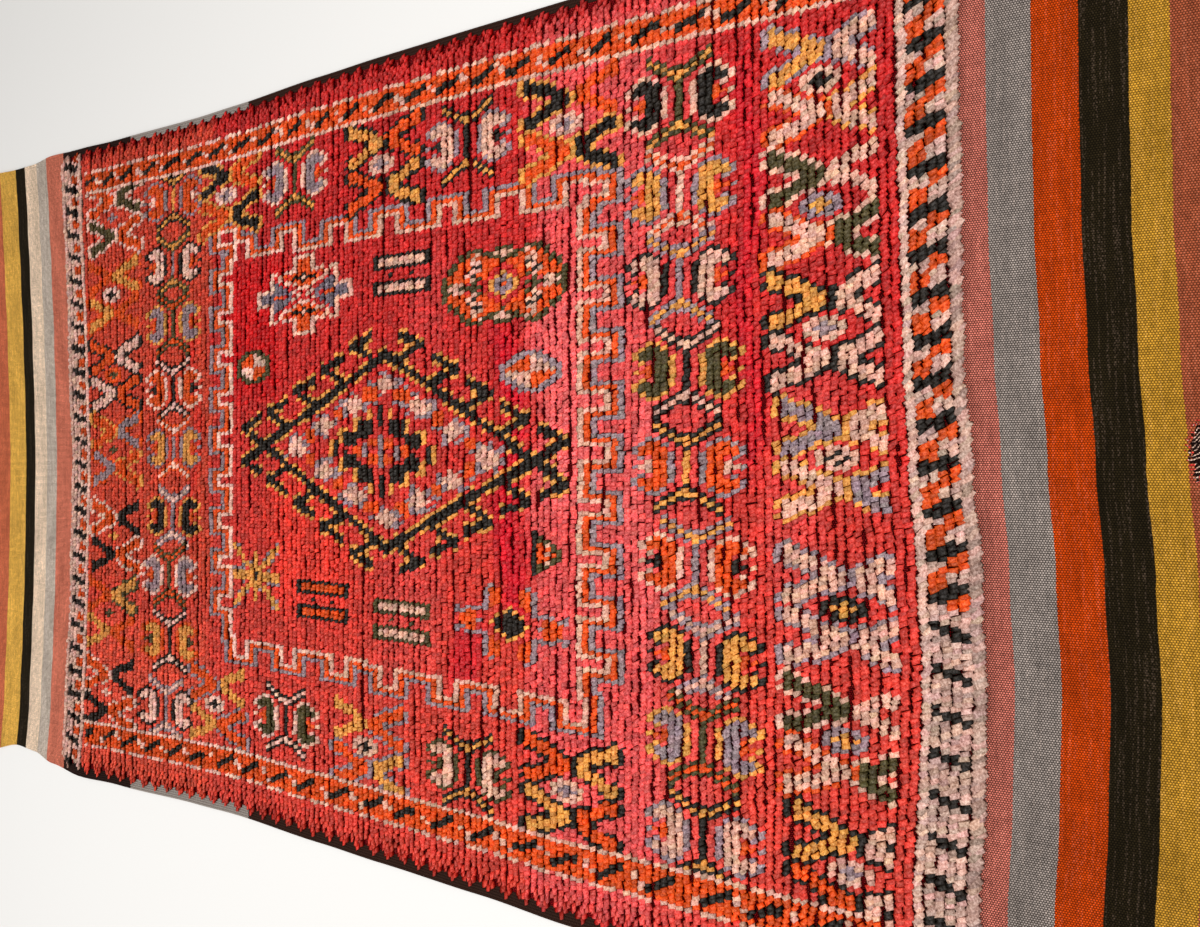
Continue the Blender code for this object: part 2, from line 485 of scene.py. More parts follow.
def side_band(chart, side):
    """The orange band along one side, between cream lines, with a zigzag of black and cream"""
    out = chart.knots if side < 0 else KNOTS - 1 - chart.knots
    inner, outer = SIDE_KNOTS[side]
    within = (chart.ahead > SIDE_ENDS[0]) & (chart.ahead < SIDE_ENDS[1])
    chart.knit(within & (out > outer) & (out < inner), "orange")
    chart.knit(within & (out == inner), "cream")
    chart.knit(within & (out == outer) & (chart.rows % 5 != 0), "cream")
    ahead, turns = zip(*SIDE_TURNS[side])
    phase = np.interp(chart.ahead, ahead, turns) % 1.0
    share = np.where(phase < RISING_SHARE, phase / RISING_SHARE, (1.0 - phase) / 0.4)
    wave = 0.5 * (inner + outer) + side * (outer - inner) * ZIGZAG_HEIGHT * (share - 0.5)
    on_line = within & (np.abs(out - wave) < 1.0)
    chart.knit(on_line & (phase < RISING_SHARE), "black")
    chart.knit(on_line & (phase >= 0.66) & (chart.draw < 0.7), "cream")


# The pitch and the slant, for each row, of the end borders' dashes, and where their orange part begins
NEAR_DASHES = (0.0585, -0.0046)
MIRRORED_DASHES = (0.0575, 0.0045)
FAR_DASHES = (0.0570, 0.0040)
ORANGE_FROM = -0.20


def dash_phase(chart, rows, dashes):
    """How far each knot is through its dash, from 0 to 1"""
    pitch, slant = dashes
    return ((chart.across + slant * rows) / pitch) % 1.0


def end_borders(chart):
    """The borders along the pile's near and far ends: slanting dashes between cream lines"""
    chart.knit((chart.rows >= 6) & (chart.rows <= 7), "red")
    near = chart.rows <= 4
    phase = dash_phase(chart, 4 - chart.rows, NEAR_DASHES)
    orange_part = chart.across > ORANGE_FROM
    outer_half = chart.rows <= 2
    chart.knit(near, "cream")
    chart.knit(near & orange_part & outer_half & (phase > 0.34), "orange")
    chart.knit(near & orange_part & ~outer_half & (phase < 0.46), "orange")
    chart.knit(near & orange_part & (phase >= 0.68), "black")
    mirrored = dash_phase(chart, 4 - chart.rows, MIRRORED_DASHES)
    chart.knit(near & ~orange_part & (mirrored < 0.27), "black")
    chart.knit(chart.rows == 0, "cream")
    chart.knit(chart.rows == 5, "cream")

    back = PILE_ROWS - 1 - chart.rows
    far = back <= 5
    phase = dash_phase(chart, back, FAR_DASHES)
    chart.knit(far, "cream")
    chart.knit(far & (back >= 3) & (phase > 0.45) & (phase < 0.8), "orange")
    chart.knit(far & (back >= 1) & (phase < 0.28), "black")
    chart.knit(back == 5, "cream")
    chart.knit(back == 0, "cream")


# The middle diamond: its place, slant and size in rows, its bands' half widths, its hooks and its lozenges
MEDALLION = (1.171, 0.024)
MEDALLION_TILT = 0.079
DIAMOND_ROWS = 26.0
BAND_HALF = 1.3
HOOKS = 5
HOOK_START = 2.0
HOOK_PITCH = 6.15
HOOK_ROWS = 4.4
HOOK_HALF = 1.1
HOOK_REACH = 4.5
LOZENGE_PITCH = 3.1
LOZENGE_KNOTS = 18.0
LOZENGE_SLOPE = 0.94

# The blocks round the medallion's heart: rows and knots from its middle, and their half sizes
BLACK_BLOCKS = ((0.0, 9.2, 0.9, 2.9), (2.6, 5.9, 1.4, 2.6), (5.6, 2.9, 1.5, 2.3), (8.9, 0.0, 0.9, 2.4))
YELLOW_BLOCKS = ((1.6, 9.4, 0.6, 2.0), (4.4, 6.8, 0.6, 2.0), (7.4, 4.1, 0.6, 2.0), (10.3, 0.0, 0.5, 2.4))


def medallion(chart):
    """The middle diamond: a black band edged in yellow, with hooks, round a ring of lozenges"""
    i, j = chart.offsets(MEDALLION)
    j = j - MEDALLION_TILT * i
    s, t = np.abs(i), np.abs(j)
    black = (np.abs(t - np.abs(DIAMOND_ROWS - s)) <= BAND_HALF) & (s <= DIAMOND_ROWS + 5)
    for number in range(HOOKS):
        start = HOOK_START + HOOK_PITCH * number
        turn = start + HOOK_ROWS
        root = abs(DIAMOND_ROWS - start)
        stem = (s >= start) & (s <= turn) & (np.abs(t - root - 1.02 * (s - start)) <= HOOK_HALF)
        bar_line = root + HOOK_REACH + 0.72 * (turn - s)
        bar = (s >= start + 0.3) & (s <= turn + 0.6) & (np.abs(t - bar_line) <= HOOK_HALF)
        black |= bar | stem
    chart.knit(spread(black, 0, 1) & (chart.draw < 0.72), "yellow")
    chart.knit(black, "black")
    for number in range(-6, 7):
        at = LOZENGE_PITCH * number
        for sign in (1, -1):
            height = LOZENGE_KNOTS - LOZENGE_SLOPE * abs(at)
            off_row, off_knot = np.abs(i - at), np.abs(j - sign * height)
            if number % 2 == 0:
                size = off_row / 2.4 + off_knot / 2.9
                chart.knit(spread(size <= 1.0, 1, 1) & (chart.draw < 0.5), "lavender")
                chart.knit(size <= 1.0, "cream")
            else:
                size = np.maximum(off_row / 1.3, off_knot / 1.8)
                chart.knit(spread(size <= 1.0, 0, 1) & (chart.draw < 0.4), "lavender")
                chart.knit(size <= 1.0, "orange")
    s = np.abs(i - 1)
    for yarn, blocks in (("yellow", YELLOW_BLOCKS), ("black", BLACK_BLOCKS)):
        for row, knot, half_rows, half_knots in blocks:
            chart.knit((np.abs(s - row) <= half_rows) & (np.abs(t - knot) <= half_knots), yarn)
    inner = s / 6.4 + t / 6.6 <= 1.0
    chart.knit(inner, "red")
    chart.knit(inner & (s >= 1) & (s <= 2) & (t >= 1) & (t <= 3.5), "orange")
    chart.knit(inner & (s >= 4) & (s <= 5) & (t <= 1.5), "orange")
    chart.knit(inner & (s == 0) & (t <= 4.5), "lavender")
    chart.knit(inner & (s == 3) & (t <= 2), "lavender")


# One quarter of a figure that is the same on both sides of its middle, both along and across.
# Each line is a row of knots from the middle outwards, and the first line is the middle row
STAR = (
    "..cobcbooooc",
    "c.cooboooooc",
    ".c.coboccccc",
    "ss..co.c....",
    "rss.c.oc....",
    "osss.cc.....",
    "ossss..c....",
    "sscccccc....",
    "ssc.........",
    "ssc.........",
    "ccc.........",
)
FOUR_LOBES = (
    "ollyr.vccv",
    "lly..oovcv",
    "yy..ooovv.",
    "..oooooov.",
    "v.vocbcocv",
    "vvcbcbccov",
    "v.ocbooovv",
    "vcooooovv.",
    "ccooovv...",
    "cvoovv....",
    "vvvv......",
)
ORANGE_SQUARES = (
    "bbbby.....",
    "bbby......",
    "bby..oooo.",
    "y...oooool",
    "...llllll.",
    "l..l......",
    "oool......",
    "oool......",
    "ool.......",
    "..ll......",
)


def quarter_figure(chart, place, lines):
    """Works a figure from the chart of one of its quarters"""
    i, j = chart.offsets(place)
    i, j = np.abs(i), np.abs(j)
    for row, line in enumerate(lines):
        for knot, mark in enumerate(line):
            chart.knit((i == row) & (j == knot), CHART_YARNS[mark])


def barred_mark(chart, place, bars, dots):
    """Two long dotted bars with two single knots between them"""
    i, j = chart.offsets(place)
    for side in (1, -1):
        across = np.abs(j - side * 3.5)
        chart.knit((np.abs(i) <= 5) & (across <= 1.5), bars)
        chart.knit((np.abs(i) <= 4) & (across <= 0.5), dots)
    chart.knit((np.abs(i) == 2) & (j == 0), bars)


def spokes(chart, place, main, edge, middle):
    """A star of eight spokes"""
    i, j = chart.offsets(place)
    s, t = np.abs(i), np.abs(j)
    slanting = (np.abs(t - 1.7 * s) <= 1.3) & (s >= 1) & (s <= 5) & (t <= 9)
    arms = slanting | ((t <= 1) & (s <= 5)) | ((s <= 0) & (t <= 7))
    chart.knit(spread(arms, 0, 1) & (chart.draw < 0.45), edge)
    chart.knit(arms, main)
    chart.knit((s <= 0) & (t <= 1), middle)


def quartered(chart, place, size, yarns):
    """A lozenge in four quarters of two yarns, in an edging of a third"""
    i, j = chart.offsets(place)
    first, second, edge = yarns
    form = np.abs(i + 0.5) / size[0] + np.abs(j + 0.5) / size[1] <= 1.0
    chart.knit(spread(form, 1, 1), edge)
    chart.knit(form & ((i >= 0) == (j >= 0)), first)
    chart.knit(form & ((i >= 0) != (j >= 0)), second)


def field_figures(chart):
    """The single figures that stand in the middle field"""
    quarter_figure(chart, (1.388, 0.347), STAR)
    barred_mark(chart, (1.130, 0.360), "black", "cream")
    barred_mark(chart, (1.338, -0.273), "black", "orange")
    barred_mark(chart, (1.128, -0.303), "olive", "cream")
    quarter_figure(chart, (0.888, 0.314), FOUR_LOBES)
    spokes(chart, (1.532, -0.238), "yellow", "lavender", "black")
    quartered(chart, (1.540, 0.208), (3.6, 5.0), ("orange", "cream", "olive"))
    quartered(chart, (0.838, 0.163), (4.2, 4.6), ("orange", "cream", "lavender"))
    quarter_figure(chart, (0.885, -0.281), ORANGE_SQUARES)
    i, j = chart.offsets((0.815, -0.155))
    chart.knit((i == 1) & (np.abs(j) <= 5), "black")
    chart.knit((i <= 0) & (i >= -3) & (np.abs(j) <= 4 + i), "olive")
    chart.knit((i <= 0) & (i >= -2) & (np.abs(j) <= 2 + i), "orange")
    chart.knit((i == -1) & (np.abs(j) <= 2) & (j % 2 == 0), "cream")


# The crosses. An arrowhead's letters are its main and edging yarns, and a middle's its main, edge and heart
CROSSES = (
    # ahead, across, far plus, near plus, far minus, near minus, middle
    (0.330, 0.560, "yl", "cl", "co", "cy", "bc."),
    (0.335, 0.380, "vc", "c.", "co", "vc", "yl."),
    (0.330, 0.195, "yb", "cb", "cb", "cb", "lc."),
    (0.312, 0.005, "ly", "cy", "cy", "ly", "bcc"),
    (0.300, -0.212, "cl", "cl", "cl", "cl", "yb."),
    (0.292, -0.395, "vc", "c.", "co", "vc", "yl."),
    (0.290, -0.582, "yb", "cb", "ob", "cb", "lc."),
    (0.765, 0.575, "by", "o.", "oy", "by", "lc."),
    (1.185, 0.575, "yb", "ob", "ob", "yb", "lc."),
    (1.620, 0.585, "by", "oy", "oy", "by", "lc."),
    (0.765, -0.555, "ob", "yb", "yb", "ob", "lc."),
    (1.215, -0.550, "y.", "ol", "ol", "yl", "bc."),
    (1.660, -0.530, "ol", "y.", "y.", "ol", "bc."),
    (2.035, 0.590, "oc", "vc", "vc", "oc", "l.."),
    (2.035, 0.405, "o.", "yo", "yo", "o.", "bc."),
    (2.035, 0.215, "ob", "cb", "cb", "ob", "vo."),
    (2.030, 0.035, "oy", "lo", "lo", "oy", "v.."),
    (2.035, -0.172, "oc", "b.", "b.", "oc", "y.."),
    (2.045, -0.358, "o.", "yv", "y.", "o.", "v.."),
    (2.055, -0.552, "oc", "b.", "b.", "oc", "c.."),
)

# The crabs. The claws' letters are their main, edging and middle yarns, and the forks' their outer and inner
CRABS = (
    # ahead, across, claws, stem, forks
    (0.555, 0.575, "bco", "v", "vy"),
    (0.553, 0.430, "ylo", "c", "co"),
    (0.550, 0.295, "cbo", "l", "ly"),
    (0.545, 0.145, "vyo", "b", "bc"),
    (0.535, -0.005, "olc", "y", "by"),
    (0.528, -0.158, "ocb", "l", "ly"),
    (0.520, -0.303, "ybo", "c", "lc"),
    (0.515, -0.432, "lyo", "v", "vo"),
    (0.520, -0.585, "clo", "b", "by"),
    (0.965, 0.580, "clb", "b", "by"),
    (1.415, 0.585, "lco", "v", "vy"),
    (0.965, -0.557, "cvv", "b", "by"),
    (1.445, -0.535, "vco", "b", "bc"),
    (1.805, 0.600, "olc", "y", "by"),
    (1.810, 0.452, "cbo", "l", "vy"),
    (1.810, 0.315, "lyo", "v", "vo"),
    (1.805, 0.170, "ocb", "b", "bc"),
    (1.800, 0.035, "ylo", "l", "oc"),
    (1.812, -0.118, "byo", "l", "lc"),
    (1.820, -0.258, "lco", "v", "vo"),
    (1.822, -0.405, "yov", "b", "bc"),
    (1.832, -0.560, "cbr", "l", "lc"),
)


def draw_pattern(chart):
    """Works every figure into the chart"""
    stepped_frame(chart)
    medallion(chart)
    field_figures(chart)
    for ahead, across, *yarns in CROSSES:
        crossed_arms(chart, (ahead, across), *yarns)
    for ahead, across, *yarns in CRABS:
        crab(chart, (ahead, across), *yarns)
    side_band(chart, 1)
    side_band(chart, -1)
    end_borders(chart)


def tuft_form():
    """One tuft, 1 wide along X, 1 long along Y and 1 high: a root, a belly, a shoulder and a tip.

    Returns its points, its faces, and the level of each point, from 0 at the root to 3 at the tip.
    """
    bm = bmesh.new()
    bmesh.ops.create_uvsphere(bm, u_segments=6, v_segments=3, radius=1.0)
    bmesh.ops.rotate(bm, verts=bm.verts, matrix=Matrix.Rotation(math.radians(90), 3, "Z"))
    heights = sorted({round(vert.co.z, 4) for vert in bm.verts})
    levels = [heights.index(round(vert.co.z, 4)) for vert in bm.verts]
    reach = max(vert.co.x for vert in bm.verts)
    for vert, level in zip(bm.verts, levels):
        side = vert.co.x / reach
        end = math.copysign(TUFT_SQUARENESS, vert.co.y) if abs(side) > 0.5 else vert.co.y
        vert.co = (0.5 * side * TUFT_WIDTHS[level], 0.5 * end * TUFT_LENGTHS[level], TUFT_HEIGHTS[level])
    bmesh.ops.recalc_face_normals(bm, faces=bm.faces)
    bm.verts.ensure_lookup_table()
    points = np.array([vert.co for vert in bm.verts])
    faces = [[vert.index for vert in face.verts] for face in bm.faces]
    bm.free()
    return points, faces, np.array(levels)


def tuft_layout(points, faces, levels):
    """The tuft spread flat round its tip, within half a unit: two values for each face corner"""
    layout = []
    for face in faces:
        angles = [math.atan2(points[index][1], points[index][0]) for index in face]
        places = [complex(math.cos(angle), math.sin(angle)) for angle in angles]
        middle = sum(place for place, index in zip(places, face) if 0 < levels[index] < 3)
        for place, index in zip(places, face):
            if levels[index] == 0:
                place = middle / abs(middle)
            place *= LAYOUT_RADII[levels[index]]
            layout.append((place.real, place.imag))
    return np.array(layout)


def add_object(name, data):
    """A new object in the scene"""
    obj = bpy.data.objects.new(name, data)
    bpy.context.scene.collection.objects.link(obj)
    return obj


def joined(name, points, faces, colours, layout):
    """One mesh of many copies of a form: points and colours by copy and vertex"""
    copies, count = points.shape[:2]
    mesh = bpy.data.meshes.new(name)
    mesh.vertices.add(copies * count)
    mesh.vertices.foreach_set("co", points.astype(np.float32).ravel())
    sizes = np.tile([len(face) for face in faces], copies)
    corners = np.concatenate([np.array(face) for face in faces])
    starts = np.arange(copies)[:, None] * count
    mesh.loops.add(copies * len(corners))
    mesh.loops.foreach_set("vertex_index", (corners[None, :] + starts).astype(np.int32).ravel())
    mesh.polygons.add(len(sizes))
    mesh.polygons.foreach_set("loop_start", np.concatenate([[0], np.cumsum(sizes)[:-1]]).astype(np.int32))
    mesh.update(calc_edges=True)
    mesh.shade_smooth()
    attribute = mesh.color_attributes.new("yarn", "FLOAT_COLOR", "POINT")
    rgba = np.ones((copies, count, 4), np.float32)
    rgba[:, :, :3] = colours
    attribute.data.foreach_set("color", rgba.ravel())

    cells = math.ceil(math.sqrt(copies))
    cell = np.stack([np.arange(copies) % cells, np.arange(copies) // cells], axis=1)
    places = (cell[:, None, :] + 0.5 + layout[None, :, :]) / cells
    mesh.uv_layers.new(name="OFBake").data.foreach_set("uv", places.astype(np.float32).ravel())
    return add_object(name, mesh)


# The tufts' size, turn in degrees and lean, and how much each of these differs from tuft to tuft
TUFT_LENGTH = 0.0173
LENGTH_CHANCE = 0.0020
TUFT_WIDTH = 0.0110
WIDTH_CHANCE = 0.0013
HEIGHT_CHANCE = 0.0011
ACROSS_CHANCE = 0.0010
ALONG_CHANCE = 0.0021
TURN = 10.0
SLOW_TURN = 14.0
NEAR_TURN = 8.0
TURN_CHANCE = 11.0
TWIST_CHANCE = 16.0
LEAN_ALONG = -0.0032
LEAN_CHANCE = 0.0012
TAPER = 0.05
TAPER_CHANCE = 0.05
PEAR_CHANCE = 0.38
SKEW_CHANCE = 0.30

# How the rows wander and swell, how much shorter the far tufts are, and how far rows part or close up
ROW_WAVE = 0.0014
HEIGHT_WAVE = 0.0006
FAR_SHORTER = 0.0010
WIDEST_GAP = 0.0060
CLOSED_GAP = 0.0016
PARTED_SHARE = 0.40

# The near border's rows, and its two rows that lie like ropes:
# the row, how much longer, wider and further back its tufts are, and how many degrees aslant
BORDER_LONGER = 0.0022
SECOND_ROW_LONGER = 0.0016
ROPE_BULGE = 0.0022
ROPE_LEAN = 0.0015
ROPE_ROWS = ((0, 0.0085, 0.0036, 0.0016, 24.0), (5, 0.0010, 0.0012, 0.0, 22.0))

# The strands at a row's ends: how far they move by chance, in lanes and into their lock, their size and turn
STRAND_CHANCE = 0.0026
LANE_SHARE = 0.30
CLOSED_SHARE = 0.66
STRAND_WIDER = 0.0090
STRAND_LENGTH = 0.0112
MIDDLE_STRAND_LONGER = 0.0044
STRAND_TURN = 9.0


class Tufts:
    """Where each tuft of the pile stands, how it is turned, and how big it is"""

    def __init__(self, chart):
        self.chart = chart
        self.random = np.random.default_rng(RANDOM_SEED)
        rows, across, along = chart.rows, chart.across, chart.along
        wander = ROW_WANDER * np.sin(11.0 * across + 0.23 * rows)
        self.x = across + self.some(ACROSS_CHANCE)
        self.y = along + chart.shift + wander + self.some(ALONG_CHANCE) + ROW_WAVE * self.along_rows(24)
        lumps = BROAD_LUMP * broad_lump(across, along) + ROW_LUMP * row_lump(rows, across)
        self.height = CREST_HEIGHT + lumps - CLOTH_THICKNESS + self.some(HEIGHT_CHANCE)
        self.height += HEIGHT_WAVE * self.along_rows(30)
        self.length = TUFT_LENGTH + self.some(LENGTH_CHANCE)
        self.width = TUFT_WIDTH + self.some(WIDTH_CHANCE)
        self.length -= FAR_SHORTER * smoothed((chart.ahead - 0.9) / 0.5)
        self.pear = self.some(PEAR_CHANCE)
        self.skew = self.some(SKEW_CHANCE)
        self.twist = np.radians(self.some(TWIST_CHANCE))
        slow = np.sin(7.0 * across + 5.0 * np.sin(4.0 * along + 1.0)) * np.cos(6.0 * along - 3.0 * across)
        near = 1.0 - smoothed((chart.ahead - 0.20) / 0.5)
        self.turn = np.radians(TURN + SLOW_TURN * slow + NEAR_TURN * near + self.some(TURN_CHANCE))
        self.lean_across = self.some(LEAN_CHANCE)
        self.lean_along = LEAN_ALONG + self.some(LEAN_CHANCE)
        self.taper = TAPER + self.some(TAPER_CHANCE)
        black = chart.yarn == YARN_NAMES.index("black")
        cream = chart.yarn == YARN_NAMES.index("cream")
        self.height += 0.0007 * cream - 0.0006 * black
        self.width += 0.0004 * cream
        self.open_rows()
        self.part_rows()
        self.shape_near_edge()
        self.shape_row_ends()

    def some(self, most):
        """A chance value for each knot, between minus and plus the most"""
        return self.random.uniform(-most, most, self.chart.rows.shape)

    def along_rows(self, stretches):
        """A value between -1 and 1 for each knot, which changes smoothly along its row"""
        ends = self.random.uniform(-1.0, 1.0, (PILE_ROWS, stretches + 1))
        places = np.linspace(0.0, stretches, KNOTS)
        before = np.minimum(places.astype(int), stretches - 1)
        share = smoothed(places - before)
        return ends[:, before] * (1.0 - share) + ends[:, before + 1] * share

    def open_rows(self):
        """Lets the pile part more between some rows and close up between others"""
        chance = self.along_rows(20)
        far_gap = WIDEST_GAP * np.clip(chance - 0.42, 0.0, 1.0)
        far_gap -= CLOSED_GAP * np.clip(0.2 - chance, 0.0, 1.0)
        near_gap = np.roll(far_gap, 1, axis=0)
        near_gap[0] = 0.0
        opened = self.chart.rows >= 6
        self.y += 0.5 * (near_gap - far_gap) * opened
        self.length -= 0.5 * (near_gap + far_gap) * opened

    def part_rows(self):
        """Moves the rows on either side of a parting away from it"""
        chart = self.chart
        for at_row, start, stop, depth in PARTINGS:
            fade = smoothed((chart.across - start) / 0.05) * smoothed((stop - chart.across) / 0.05)
            before = (chart.rows <= at_row) * np.exp(-np.abs(at_row - chart.rows) / 1.5)
            after = (chart.rows > at_row) * np.exp(-np.abs(at_row + 1 - chart.rows) / 1.5)
            self.y += PARTED_SHARE * depth * fade * (after - before)

    def shape_near_edge(self):
        """The border's rows close up, and its two cream rows lie aslant like ropes"""
        rows = self.chart.rows
        bulge = ROPE_BULGE * self.along_rows(26)
        self.length[rows < 6] += BORDER_LONGER
        self.length[rows == 1] += SECOND_ROW_LONGER
        for row, longer, wider, back, aslant in ROPE_ROWS:
            rope = rows == row
            self.length[rope] += longer + bulge[rope]
            self.y[rope] -= back + 0.5 * bulge[rope]
            self.width[rope] += wider
            self.turn[rope] += np.radians(aslant)
            self.lean_along[rope] -= ROPE_LEAN
        self.pear[rows == 0] *= 0.4

    def shape_row_ends(self):
        """A row's end tufts are long strands that lie outwards, and three rows close up into one lock"""
        chart = self.chart
        in_lock = chart.rows % ROWS_A_LOCK - 1
        for side, out, reach, lie in (
            (1, KNOTS - 1 - chart.knots, LOCK_REACH_PLUS, -0.0020),
            (-1, chart.knots, LOCK_REACH_MINUS, 0.0060),
        ):
            end = 1.0 - smoothed((out - 1.0) / LOCK_KNOTS)
            tip = 1.0 - smoothed(out / 3.0)
            moved = lie * end + tip * np.where(in_lock == 0, reach, 0.05 * reach)
            self.lean_across += side * (moved + end * self.some(STRAND_CHANCE))
            lane = (out % 2) - 0.5
            self.y += lane * LANE_SHARE * ROW_PITCH * end
            self.lean_along -= in_lock * CLOSED_SHARE * ROW_PITCH * tip
            self.width += STRAND_WIDER * end
            length = STRAND_LENGTH + MIDDLE_STRAND_LONGER * (in_lock == 0)
            self.length += (length - self.length) * 0.9 * end
            self.taper += 0.20 * end + 0.20 * tip
            self.height *= 1.0 - 0.12 * end - 0.32 * tip
            self.turn *= 1.0 - end
            self.turn += side * np.radians(STRAND_TURN) * in_lock * tip
            self.turn += np.radians(self.some(STRAND_TURN)) * end

    def points(self, form, rows):
        """The points of the tufts in these rows, copy by copy"""
        x, y, height, length, width, turn, lean_across, lean_along, taper, pear, skew, twist = (
            values[rows].reshape(-1, 1)
            for values in (
                self.x, self.y, self.height, self.length, self.width, self.turn,
                self.lean_across, self.lean_along, self.taper, self.pear, self.skew, self.twist,
            )
        )
        side, end, up = form.T[:, None, :]
        size = 1.0 - taper * up
        across = side * width * size * (1.0 + pear * end)
        along = end * length * size * (1.0 + skew * side)
        turn = turn + twist * (up - 0.5)
        turned_x = across * np.cos(turn) - along * np.sin(turn) + lean_across * up
        turned_y = across * np.sin(turn) + along * np.cos(turn) + lean_along * up
        z = TUFT_FOOT + (height + CLOTH_THICKNESS - TUFT_FOOT) * up
        return np.stack([x + turned_x, y + turned_y, z], axis=2)


def field_reds(chart):
    """The red of each knot of the field, from 0 to 255: the two sides' reds, and the dye lots over them"""
    brick, crimson = np.array(REDS["brick"], float), np.array(REDS["crimson"], float)
    red = brick + (crimson - brick) * smoothed((chart.across + 0.6) / 1.2)[:, :, None]
    wander = 0.012 * np.sin(19.0 * chart.across) + 0.010 * (chart.draw - 0.5)
    ahead = chart.ahead + wander
    across = chart.across + 0.05 * (chart.draw - 0.5)
    for near, far, low, high, name, strength in DYE_LOTS:
        within = smoothed((ahead - near) / 0.03) * smoothed((far - ahead) / 0.03)
        within *= smoothed((across - low) / 0.08) * smoothed((high - across) / 0.08)
        red += (strength * within)[:, :, None] * (np.array(REDS[name], float) - red)
    return red


# How much the yarns' tone differs from row to row, and their tint from tuft to tuft
ROW_TONES = 0.035
TUFT_TINTS = 0.028
# How much darker the whole pile is; painted shade on its far part besides, and on its near border and its
# first row; and how much darker its far border is
DIMMER = 0.027
FAR_PAINTED_SHADE = 0.055
NEAR_PAINTED_SHADE = 0.06
FIRST_ROW_PAINTED_SHADE = 0.07
FAR_BORDER_DARKER = 0.05
BLEACHED_CREAM = 0.08
BLEACHED_TINT = (-0.01, 0.03, 0.07)
RUBBED_SHARE = 0.03


def yarn_colours(chart):
    """The colour of each knot's yarn, with the field's changes, each tuft's own tone, and painted shade on
    the pile's far part and near border
    """
    random = np.random.default_rng(RANDOM_SEED + 1)
    palette = np.array([YARNS[name] for name in YARN_NAMES], float)
    colours = palette[chart.yarn]
    field = field_reds(chart)
    is_red = (chart.yarn == YARN_NAMES.index("red"))[:, :, None]
    rubbed = (RUBBED_SHARE * smoothed((chart.ahead - 1.5) / 0.3))[:, :, None]
    colours = np.where(is_red, field, colours + rubbed * (field - colours))
    by_row = np.repeat(random.uniform(-ROW_TONES, ROW_TONES, (PILE_ROWS, 1)), KNOTS, axis=1)
    by_tuft = random.uniform(-0.12, 0.10, chart.yarn.shape)
    # The whole pile darker, and painted shade that darkens its far part more
    dimmer = DIMMER + FAR_PAINTED_SHADE * smoothed((chart.ahead - 1.3) / 0.7)
    # Painted shade on the near border's rows, and more on the first row
    painted_shade_and_bleach = NEAR_PAINTED_SHADE * (chart.rows < 5) + FIRST_ROW_PAINTED_SHADE * (chart.rows == 0)
    cream = chart.yarn == YARN_NAMES.index("cream")
    far = smoothed((chart.ahead - 1.2) / 0.4)
    painted_shade_and_bleach -= BLEACHED_CREAM * cream * far
    painted_shade_and_bleach += FAR_BORDER_DARKER * (chart.rows >= PILE_ROWS - 6)
    tone = (1.0 + by_row + by_tuft - dimmer - painted_shade_and_bleach)[:, :, None]
    tint = 1.0 + random.uniform(-TUFT_TINTS, TUFT_TINTS, chart.yarn.shape + (3,))
    bleached = cream * (far + (chart.rows < 6))
    tint += bleached[:, :, None] * np.array(BLEACHED_TINT)
    return linear(np.clip(colours * tone * tint, 0, 255))


def paint_root_shade_and_tip_sheen(colours, depth, levels):
    """The yarn's colour by level: painted shade, deep and dark, at a tuft's root and belly, and a painted
    sheen that lightens its tip
    """
    # Painted shade at the root and belly, the darker the smaller depth is
    deep = depth * colours ** 2.0
    # Painted sheen that lightens the tip
    tip_sheen = colours + 0.042 * (1.0 - colours)
    by_level = np.stack([deep, deep, colours, tip_sheen])
    return np.moveaxis(by_level[levels], 0, 1)


class Number:
    """A socket that holds a number, for shader maths written as expressions"""

    def __init__(self, shader, socket):
        self.shader = shader
        self.socket = socket

    def _with(self, operation, first, second):
        values = {0: first, 1: second}
        return self.shader.number("ShaderNodeMath", "Value", {"operation": operation}, values)

    def __add__(self, other):
        return self._with("ADD", self, other)

    def __radd__(self, other):
        return self._with("ADD", other, self)

    def __sub__(self, other):
        return self._with("SUBTRACT", self, other)

    def __rsub__(self, other):
        return self._with("SUBTRACT", other, self)

    def __mul__(self, other):
        return self._with("MULTIPLY", self, other)

    def __rmul__(self, other):
        return self._with("MULTIPLY", other, self)

    def __truediv__(self, other):
        return self._with("DIVIDE", self, other)

    def __rtruediv__(self, other):
        return self._with("DIVIDE", other, self)

    def __mod__(self, other):
        return self._with("FLOORED_MODULO", self, other)

    def __gt__(self, other):
        return self._with("GREATER_THAN", self, other)

    def __lt__(self, other):
        return self._with("LESS_THAN", self, other)


